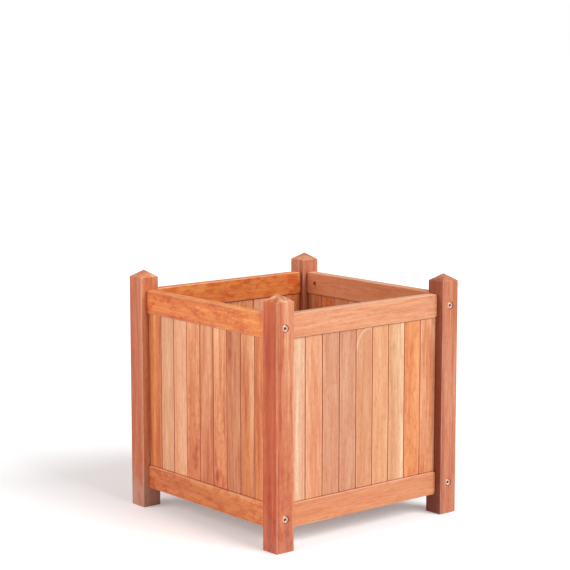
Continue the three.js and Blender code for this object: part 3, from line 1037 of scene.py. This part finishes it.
# %% One board
BOARDS = 9
TONGUE_LENGTH = 5 * MM
TONGUE_THICKNESS = 4 * MM
V_EDGE = 1.2 * MM
BOARD_EASE = 0.3 * MM
PAINTED_RAIL_SHADOW = 1.5 * MM  # the painted shadow on the boards along the edges of the rails
PITCH = OPENING / BOARDS
BOARD_WIDTH = PITCH - JOINT_GAP
HOUSED = board_high.z - rail_low.z


def board(name, has_groove, has_tongue):
    """A board whose middle line is at x = 0, y = 0, with its outer face towards -Y."""
    start_clean()
    bpy.ops.mesh.primitive_plane_add(size=1, location=(0, 0, board_low.z))
    piece = bpy.context.object
    piece.name = piece.data.name = name
    piece.scale = (BOARD_WIDTH, BOARD_THICKNESS, 1)
    keep_place_in_mesh(piece)
    side, face, tongue = BOARD_WIDTH / 2, BOARD_THICKNESS / 2, TONGUE_THICKNESS / 2
    slot = tongue + JOINT_GAP
    slot_end = -side + TONGUE_LENGTH + JOINT_GAP

    def is_tongue(edge):
        return middle(edge).x > side - TOUCH and abs(middle(edge).y) < tongue - TOUCH

    def is_slot(part):
        return middle(part).x < slot_end and abs(middle(part).y) < slot

    def is_outer_corner(point):
        return abs(point.co.x) > side - TOUCH and point.co.y < -face + TOUCH

    bpy.ops.object.mode_set(mode="EDIT")
    cuts = [((0, y, 0), (0, 1, 0)) for y in (-slot, -tongue, tongue, slot)]
    for place, normal in [*cuts, ((slot_end, 0, 0), (1, 0, 0))]:
        bpy.ops.mesh.select_all(action="SELECT")
        bpy.ops.mesh.bisect(plane_co=place, plane_no=normal)
    if has_tongue:
        pick(piece, "edges", is_tongue)
        bpy.ops.mesh.extrude_region_move(TRANSFORM_OT_translate={"value": (TONGUE_LENGTH, 0, 0)})
    if has_groove:
        pick(piece, "faces", is_slot)
        bpy.ops.mesh.delete(type="FACE")
    pick(piece, "verts", is_outer_corner)
    bpy.ops.mesh.bevel(offset=V_EDGE, segments=1, affect="VERTICES")
    bpy.ops.mesh.select_all(action="SELECT")
    bpy.ops.mesh.dissolve_limited(angle_limit=math.radians(1))
    bpy.ops.mesh.select_all(action="SELECT")
    length = board_high.z - board_low.z
    bpy.ops.mesh.extrude_region_move(TRANSFORM_OT_translate={"value": (0, 0, length)})
    bpy.ops.mesh.select_all(action="SELECT")
    bpy.ops.mesh.normals_make_consistent(inside=False)
    bpy.ops.object.mode_set(mode="OBJECT")
    ease(piece, BOARD_EASE)
    return piece


board_masters = {
    1: board("first_board", False, True),
    2: board("middle_board", True, True),
    BOARDS: board("last_board", True, False),
}
print("a board is", round(BOARD_WIDTH / MM, 2), "mm wide")

# %% Four panels of boards
# tone and figure of each board of the front and of the left, from left to right, seen from outside
FRONT_BOARDS = [
    ("cream", "straight"), ("salmon", "straight"), ("grey_pink", "calm"),
    ("grey_pink", "arched"), ("salmon", "calm"), ("golden", "calm"),
    ("tan", "arched"), ("orange", "mottled"), ("salmon", "streaky"),
]
LEFT_BOARDS = [
    ("orange", "streaky"), ("cream", "calm"), ("cream", "straight"),
    ("golden", "mottled"), ("salmon", "streaky"), ("tan", "streaky"),
    ("brown", "streaky"), ("orange", "streaky"), ("orange", "streaky"),
]
# the tints of the left, back and right panels are painted warm light
PANELS = {
    "front": (FRONT_BOARDS, AS_IT_IS),
    "right": (FRONT_BOARDS, MILD_PAINTED_WARMTH),
    "left": (LEFT_BOARDS, WARM_PAINTED_LIGHT),
    "back": (LEFT_BOARDS, WARM_PAINTED_LIGHT),
}
board_corners = [
    Vector((-BOARD_WIDTH / 2, -BOARD_THICKNESS / 2, board_low.z)),
    Vector((BOARD_WIDTH / 2, BOARD_THICKNESS / 2, board_high.z)),
]
worst = 0
for side, (looks, tint) in PANELS.items():
    turn = turn_of(side)
    panel_y = (turn.inverted() @ (sum(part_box(f"{side}_top_rail"), Vector()) / 2)).y
    for number, (tone, figure) in enumerate(looks, start=1):
        node = f"{side}_board_{number}"
        across = (number - (BOARDS + 1) / 2) * PITCH
        place = turn @ Matrix.Translation((across, panel_y, 0))
        low, high = span(place @ corner for corner in board_corners)
        master = board_masters.get(number, board_masters[2])
        piece = copy_of(master, f"board_{side}_{number}", place)
        through = turn @ Vector((0, 1, 0))
        # the V joints are dirty, and a painted shadow lies along the rails
        wood = hardwood(
            node, low, high, UP, through, tone, figure, tint,
            inset=V_EDGE, housed=HOUSED + PAINTED_RAIL_SHADOW, grime=1.0,
        )
        stand_for(piece, wood, [node], "planter_box")
        worst = max(worst, off_by(piece, node))
for master in board_masters.values():
    bpy.data.objects.remove(master)
print("boards are off by at most", round(worst, 3), "mm")

# %% [markdown]
# ## Steel
# The bolt heads are turned on a lathe, which leaves fine rings round the middle, so their bump is
# a noise along the distance from the bolt's own axis. The socket is painted dark, as painted
# shade. The steel has a warm tone, a painted reflection of the red wood round a bolt. The nuts and
# screws are plainer.

# %% Steel
LATHE_MARKS = 5000  # a metre
MARK_STRENGTH = 0.3
MARK_HEIGHT = 0.01 * MM
DULL_SCALE = (160, 160, 160)
DULL_STEP = (0.4, 0.8)
DULL_SHARE = 0.35
DULL_ROUGHER = 0.12
DULL_STEEL = "a8897c"
# painted shade in a socket, within a radius and past a depth
SOCKET_PAINTED_SHADE = "7a5546"
SOCKET_SHADE_RADIUS = (2.4 * MM, 3.0 * MM)
SOCKET_SHADE_DEPTH = (0.1 * MM, 0.8 * MM)


# the warm default tone is a painted reflection of the red wood round a bolt
def steel(name, centre, tone="e6bba8", roughness=0.24):
    """Bright steel with lathe marks round an axis along Y through a point."""
    material, tree, shader = new_material(name)
    place = centred(tree, centre)
    radius = vector(tree, "LENGTH", vector(tree, "MULTIPLY", place, (1, 0, 1)))
    marks = noise_along(tree, radius, scale=LATHE_MARKS, detail=2.0)
    dull = noise(tree, place, DULL_SCALE, detail=3)["Fac"]
    dulled = soft_step(tree, dull, *DULL_STEP, 0.0, DULL_SHARE)
    colour = mix(tree, dulled, (*linear(tone), 1), (*linear(DULL_STEEL), 1))
    # painted shade down in the socket
    depth = calc(tree, "ABSOLUTE", split(tree, place)["Y"])
    within = soft_step(tree, radius, *SOCKET_SHADE_RADIUS, 1.0, 0.0)
    socket_shade = calc(tree, "MULTIPLY", soft_step(tree, depth, *SOCKET_SHADE_DEPTH), within)
    colour = mix(tree, socket_shade, colour, (*linear(SOCKET_PAINTED_SHADE), 1))
    rough = calc(tree, "MULTIPLY_ADD", dull, DULL_ROUGHER, roughness)
    finish_shader(tree, shader, colour, rough, marks, MARK_STRENGTH, MARK_HEIGHT)
    shader.inputs["Metallic"].default_value = 1
    return material


nut_steel = steel("nut_steel", (0, 0, 0), tone="b9b0a8", roughness=0.4)
screw_steel = steel("screw_steel", (0, 0, 0), tone="c4b183", roughness=0.35)
print("steel has", len(nut_steel.node_tree.nodes), "nodes")

# %% [markdown]
# ## Connector bolts and barrel nuts
# A connector bolt has a wide flat head with a rounded rim and a hexagon socket. The head starts as
# a short cylinder whose rim is bevelled in several steps, and the socket is cut with a six-sided
# rod and a cone for its mouth. The barrel nut lies across the bolt, with a slot in its end so that
# a screwdriver can turn it square to the bolt.

# %% One bolt and one nut
HEAD_SIDES = 64
THREAD_SIDES = 32
HEAD_RADIUS = 7.5 * MM
HEAD_THICKNESS = 2.5 * MM
RIM_RADIUS = 1.3 * MM
SHANK_RADIUS = 3 * MM
SHANK_OVERLAP = 0.5 * MM  # how far the shank's rod runs into the head
BOLT_TIP = 80 * MM
TIP_BEVEL = 0.8 * MM
SOCKET_RADIUS = 4 / math.sqrt(3) * MM  # 4 mm across its flats
SOCKET_DEPTH = 3.5 * MM
MOUTH_START = 0.4 * MM  # in front of the head's face
MOUTH_END = 1.4 * MM  # behind it
MOUTH_RADIUS = SOCKET_RADIUS + 1.6 * MM
MOUTH_END_RADIUS = SOCKET_RADIUS - 0.4 * MM
BOLT_EASE = 0.12 * MM
NUT_RADIUS = 5 * MM
NUT_FROM_HEAD = 72 * MM
NUT_EASE = 0.35 * MM
THREAD_ROOM = 0.05 * MM
SLOT_WIDTH = 1.4 * MM
SLOT_DEPTH = 1.6 * MM
STEEL_ANGLE = 40  # degrees from which an edge of the bolt or nut is rounded


def connector_bolt(name):
    """A bolt along Y, with the face of its head at the origin, looking towards -Y."""
    piece = rod(name, HEAD_RADIUS, (0, 0, 0), (0, HEAD_THICKNESS, 0), HEAD_SIDES)
    pick(piece, "edges", lambda edge: middle(edge).y < TOUCH)
    bpy.ops.mesh.bevel(offset=RIM_RADIUS, segments=5, affect="EDGES")
    bpy.ops.object.mode_set(mode="OBJECT")
    shank_start = (0, HEAD_THICKNESS - SHANK_OVERLAP, 0)
    shank = rod("shank", SHANK_RADIUS, shank_start, (0, BOLT_TIP, 0))
    pick(shank, "edges", lambda edge: middle(edge).y > BOLT_TIP - TOUCH)
    bpy.ops.mesh.bevel(offset=TIP_BEVEL, segments=1, affect="EDGES")
    bpy.ops.object.mode_set(mode="OBJECT")
    combine(piece, [shank], "UNION")
    mouth_from, mouth_to = (0, -MOUTH_START, 0), (0, MOUTH_END, 0)
    tools = [
        rod("mouth", MOUTH_RADIUS, mouth_from, mouth_to, end_radius=MOUTH_END_RADIUS),
        rod("socket", SOCKET_RADIUS, (0, -MM, 0), (0, SOCKET_DEPTH, 0), sides=6),
    ]
    combine(piece, tools, "DIFFERENCE")
    ease(piece, BOLT_EASE, angle=STEEL_ANGLE)
    return piece


def barrel_nut(name, inner_end):
    """A nut along X, crossed by a bolt along Y. Its slot is at the end given by the sign."""
    half, past = NUT_LENGTH / 2, HEAD_RADIUS
    piece = rod(name, NUT_RADIUS, (-half, 0, 0), (half, 0, 0))
    from_x, to_x = sorted((inner_end * (half - SLOT_DEPTH), inner_end * (half + MM)))
    tools = [
        block("slot", (from_x, -SLOT_WIDTH / 2, -past), (to_x, SLOT_WIDTH / 2, past)),
        rod("thread_hole", SHANK_RADIUS + THREAD_ROOM, (0, -past, 0), (0, past, 0), THREAD_SIDES),
    ]
    combine(piece, tools, "DIFFERENCE")
    ease(piece, NUT_EASE, angle=STEEL_ANGLE)
    return piece


bolt_master = connector_bolt("bolt")
nut_masters = {hand: barrel_nut("nut", hand) for hand in (1, -1)}
print("a bolt has", len(bolt_master.data.polygons), "faces")

# %% Eight bolts and eight nuts
head_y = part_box("bolt_front_left_top")[0].y
for side, facing in FACING.items():
    turn = turn_of(side)
    for hand in ("left", "right"):
        post_x = sum(corner.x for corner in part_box(f"post_{side}_{hand}")) / 2
        inward = 1 if post_x < 0 else -1
        for level, z in rail_z.items():
            node = f"bolt_{side}_{hand}_{level}"
            head = turn @ Vector((0, head_y, 0)) + Vector((post_x, 0, z))
            piece = copy_of(bolt_master, f"connector_{node}", Matrix.Translation(head) @ turn)
            stand_for(piece, steel(f"steel_{node}", head), [node], "planter_box")
            in_rail = Vector((-inward * side_rail_x, 0, z))
            nut_place = turn @ Vector((0, head_y + NUT_FROM_HEAD, 0)) + in_rail
            place = Matrix.Translation(nut_place) @ turn
            nut = copy_of(nut_masters[inward * facing], f"barrel_nut_{side}_{hand}_{level}", place)
            stand_for(nut, nut_steel, [node], "planter_box")
            off = span([*box_of(piece), *box_of(nut)])[0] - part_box(node)[0]
            print(node, "is off by", [round(v / MM, 2) for v in off], "mm")
for master in (bolt_master, *nut_masters.values()):
    bpy.data.objects.remove(master)

# %% [markdown]
# ## Screws
# Countersunk screws hold the ledgers to the rails and the floor boards to their battens. A head is
# a cone with a cross cut in it, and it sits in a hole of the same shape, a little below the wood.

# %% Screws
SCREW_HEAD_RADIUS = 3.6 * MM
SCREW_HEAD_DEPTH = 2.4 * MM
SCREW_SHANK_RADIUS = 1.7 * MM
SCREW_TIP_RADIUS = 0.5 * MM
SCREW_SINK = 0.4 * MM
CROSS_WIDTH = 1.0 * MM
CROSS_REACH = 2.2 * MM
CROSS_DEPTH = 1.6 * MM
SINK_ROOM = 0.3 * MM
SINK_TIP_RADIUS = 1.9 * MM
SCREW_SIDES = 24
SCREW_SHANK_SIDES = 16
SCREW_OVERLAP = 0.2 * MM
SCREW_ANGLE = 35  # degrees up to which a screw is shaded as smooth


def countersunk_screw(name, length):
    """A screw that points down, with the top of its head at the origin."""
    neck, tip = (0, 0, -SCREW_HEAD_DEPTH), (0, 0, -length)
    piece = rod(name, SCREW_HEAD_RADIUS, (0, 0, 0), neck, SCREW_SIDES, SCREW_SHANK_RADIUS)
    start = (0, 0, -SCREW_HEAD_DEPTH + SCREW_OVERLAP)
    shank = rod("shank", SCREW_SHANK_RADIUS, start, tip, SCREW_SHANK_SIDES, SCREW_TIP_RADIUS)
    combine(piece, [shank], "UNION")
    tools = []
    for x, y in ((CROSS_REACH, CROSS_WIDTH / 2), (CROSS_WIDTH / 2, CROSS_REACH)):
        tools.append(block("cross", (-x, -y, -CROSS_DEPTH), (x, y, MM)))
    combine(piece, tools, "DIFFERENCE")
    smooth(piece, SCREW_ANGLE)
    return piece


def screw_in(master, name, body, surface, turned, tools):
    """Places a screw a little below a wood's surface, and adds the tool that cuts its hole."""
    radius = SCREW_HEAD_RADIUS + SINK_ROOM + SCREW_SINK
    bottom = (0, 0, -SCREW_SINK - SCREW_HEAD_DEPTH)
    tool = rod("countersink", radius, (0, 0, MM), bottom, SCREW_SIDES, SINK_TIP_RADIUS)
    tool.data.transform(surface)
    tools.append(tool)
    sunk = surface @ Matrix.Translation((0, 0, -SCREW_SINK)) @ turned
    stand_for(copy_of(master, name, sunk), screw_steel, [], body)


# %% [markdown]
# ## Ledgers
# A ledger is a square batten on the inside of a lower side rail. The floor lies on it. Four screws
# hold it.

# %% Ledgers
LEDGER_SCREWS = 4
LEDGER_SCREW_LENGTH = 36 * MM
LEDGER_SCREW_EDGE = 45 * MM
LEDGER_EASE = 0.8 * MM
INSIDE_BLEACH = 0.35  # the sun reaches the inside less

ledger_screw = countersunk_screw("ledger_screw", LEDGER_SCREW_LENGTH)
for side, inward in (("left", 1), ("right", -1)):
    node = f"{side}_ledger"
    low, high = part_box(node)
    piece = block(f"ledger_{side}", low, high)
    face = high.x if side == "left" else low.x
    to_face = Matrix.Rotation(math.radians(90 * inward), 4, "Y")
    spacing = (high.y - low.y - 2 * LEDGER_SCREW_EDGE) / (LEDGER_SCREWS - 1)
    tools = []
    for number in range(LEDGER_SCREWS):
        y = low.y + LEDGER_SCREW_EDGE + number * spacing
        surface = Matrix.Translation((face, y, (low.z + high.z) / 2)) @ to_face
        name = f"ledger_screw_{side}_{number + 1}"
        screw_in(ledger_screw, name, "planter_box", surface, Matrix.Identity(4), tools)
    combine(piece, tools, "DIFFERENCE")
    ease(piece, LEDGER_EASE)
    wood = hardwood(
        node, low, high, (0, 1, 0), (1, 0, 0), "floor", "straight", bleach=INSIDE_BLEACH,
    )
    stand_for(piece, wood, [node], "planter_box")
    print(piece.name, "is off by", round(off_by(piece, node), 3), "mm")
bpy.data.objects.remove(ledger_screw)

# %% [markdown]
# ## The slatted floor
# The floor is five boards on two battens. It lies loose, so it is the one thing that moves: every
# piece of it, screws included, rides on the body `floor`. The CAD model has it as one solid, and
# here it comes apart into its pieces.

# %% Floor boards
FLOOR_TONES = ["tan", "floor", "golden", "floor", "tan"]
FLOOR_GAP = 10 * MM
FLOOR_THICKNESS = 15 * MM
FLOOR_EASE = 1 * MM
BATTEN_WIDTH = 30 * MM
BATTEN_SPACING = 240 * MM
BATTEN_SETBACK = 12 * MM
FLOOR_SCREW_LENGTH = 26 * MM
FLOOR_SCREW_OFFSET = 20 * MM
SCREW_TURN = 0.7  # radians from one screw's cross to the next one's

floor_low, floor_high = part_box("slatted_floor")
board_bottom = floor_high.z - FLOOR_THICKNESS
floor_pitch = (floor_high.y - floor_low.y + FLOOR_GAP) / len(FLOOR_TONES)
floor_screw = countersunk_screw("floor_screw", FLOOR_SCREW_LENGTH)
screws = 0
for number, tone in enumerate(FLOOR_TONES):
    low = Vector((floor_low.x, floor_low.y + number * floor_pitch, board_bottom))
    high = Vector((floor_high.x, low.y + floor_pitch - FLOOR_GAP, floor_high.z))
    piece = block(f"floor_board_{number + 1}", low, high)
    pick(piece, "edges", lambda edge: True)
    bpy.ops.mesh.bevel(offset=FLOOR_EASE, segments=3, affect="EDGES")
    bpy.ops.object.mode_set(mode="OBJECT")
    tools = []
    for batten in (-1, 1):
        for row in (-1, 1):
            x = batten * BATTEN_SPACING / 2
            y = (low.y + high.y) / 2 + row * FLOOR_SCREW_OFFSET
            screws += 1
            surface = Matrix.Translation((x, y, high.z))
            turned = Matrix.Rotation(screws * SCREW_TURN, 4, "Z")
            screw_in(floor_screw, f"floor_screw_{screws}", "floor", surface, turned, tools)
    combine(piece, tools, "DIFFERENCE")
    smooth(piece)
    wood = hardwood(
        piece.name, low, high, (1, 0, 0), UP, tone, "straight", bleach=INSIDE_BLEACH,
    )
    stand_for(piece, wood, ["slatted_floor"], "floor")
bpy.data.objects.remove(floor_screw)
print("floor:", len(FLOOR_TONES), "boards,", screws, "screws")

# %% Battens of the floor
for name, x in (("left", -BATTEN_SPACING / 2), ("right", BATTEN_SPACING / 2)):
    low = Vector((x - BATTEN_WIDTH / 2, floor_low.y + BATTEN_SETBACK, floor_low.z))
    high = Vector((x + BATTEN_WIDTH / 2, floor_high.y - BATTEN_SETBACK, board_bottom))
    piece = block(f"floor_batten_{name}", low, high)
    ease(piece, FLOOR_EASE, segments=3)
    wood = hardwood(
        piece.name, low, high, (0, 1, 0), UP, "floor", "straight", bleach=INSIDE_BLEACH,
    )
    stand_for(piece, wood, ["slatted_floor"], "floor")
    print(piece.name, "is", round((high.y - low.y) / MM, 1), "mm long")

# %% [markdown]
# ## The studio
# A planter in a catalogue stands on white. A soft lamp shines from a little to the right of its
# front, a weaker and warmer one from behind its left side, and the room adds little, so recesses
# stay dark. Both lamps are suns with a wide disc: a sun lights the whole ground evenly, which
# keeps the horizon as white as the ground beneath the planter. The camera sees white behind it
# all, whatever the strength of the room's own light.

# %% Ground and room
GROUND_SIZE = 80
PAPER_TONE = (0.93, 0.96, 1.0, 1)
PAPER_GLOW = 0.22
ROOM_STRENGTH = 0.34

bpy.context.scene.view_settings.view_transform = "Standard"

start_clean()
bpy.ops.mesh.primitive_plane_add(size=GROUND_SIZE)
ground = bpy.context.object
ground.name = "ground"
paper, tree, shader = new_material("paper")
shader.inputs["Base Color"].default_value = PAPER_TONE
shader.inputs["Roughness"].default_value = 1
shader.inputs["Emission Strength"].default_value = PAPER_GLOW
feed(tree, shader.inputs["Emission Color"], put(tree, "LightPath").outputs["Is Camera Ray"])
wear(ground, paper)

world = bpy.data.worlds.new("room")
bpy.context.scene.world = world
world.use_nodes = True
tree = world.node_tree
room = tree.nodes["Background"]
room.inputs["Color"].default_value = (1, 1, 1, 1)
seen = put(tree, "LightPath").outputs["Is Camera Ray"]
strength = put(tree, "MapRange", {"Value": seen, "To Min": ROOM_STRENGTH, "To Max": 1.0})
feed(tree, room.inputs["Strength"], strength.outputs[0])
print("ground:", GROUND_SIZE, "m, room:", ROOM_STRENGTH)

# %% Lamps
LAMP_DISTANCE = 3  # metres; it only shows where a lamp is
LAMPS = {
    # where it shines from, strength, colour, width of its disc in degrees
    "key": ((0.25, -0.80, 0.62), 2.8, (1.0, 0.99, 0.98), 40),
    "fill": ((-0.80, 0.30, 0.42), 1.65, (1.0, 0.86, 0.77), 45),
}
for name, (direction, power, colour, disc) in LAMPS.items():
    lamp_data = bpy.data.lights.new(name, "SUN")
    lamp_data.energy = power
    lamp_data.color = colour
    lamp_data.angle = math.radians(disc)
    lamp = bpy.data.objects.new(name, lamp_data)
    lamp.location = Vector(direction) * LAMP_DISTANCE
    lamp.rotation_euler = Vector(direction).to_track_quat("Z", "Y").to_euler()
    bpy.context.scene.collection.objects.link(lamp)
    print(name, "lamp:", power, "W/m2 from", direction)

# %% [markdown]
# ## The end
# The script ends in object mode, with nothing selected.

# %% Finish
start_clean()
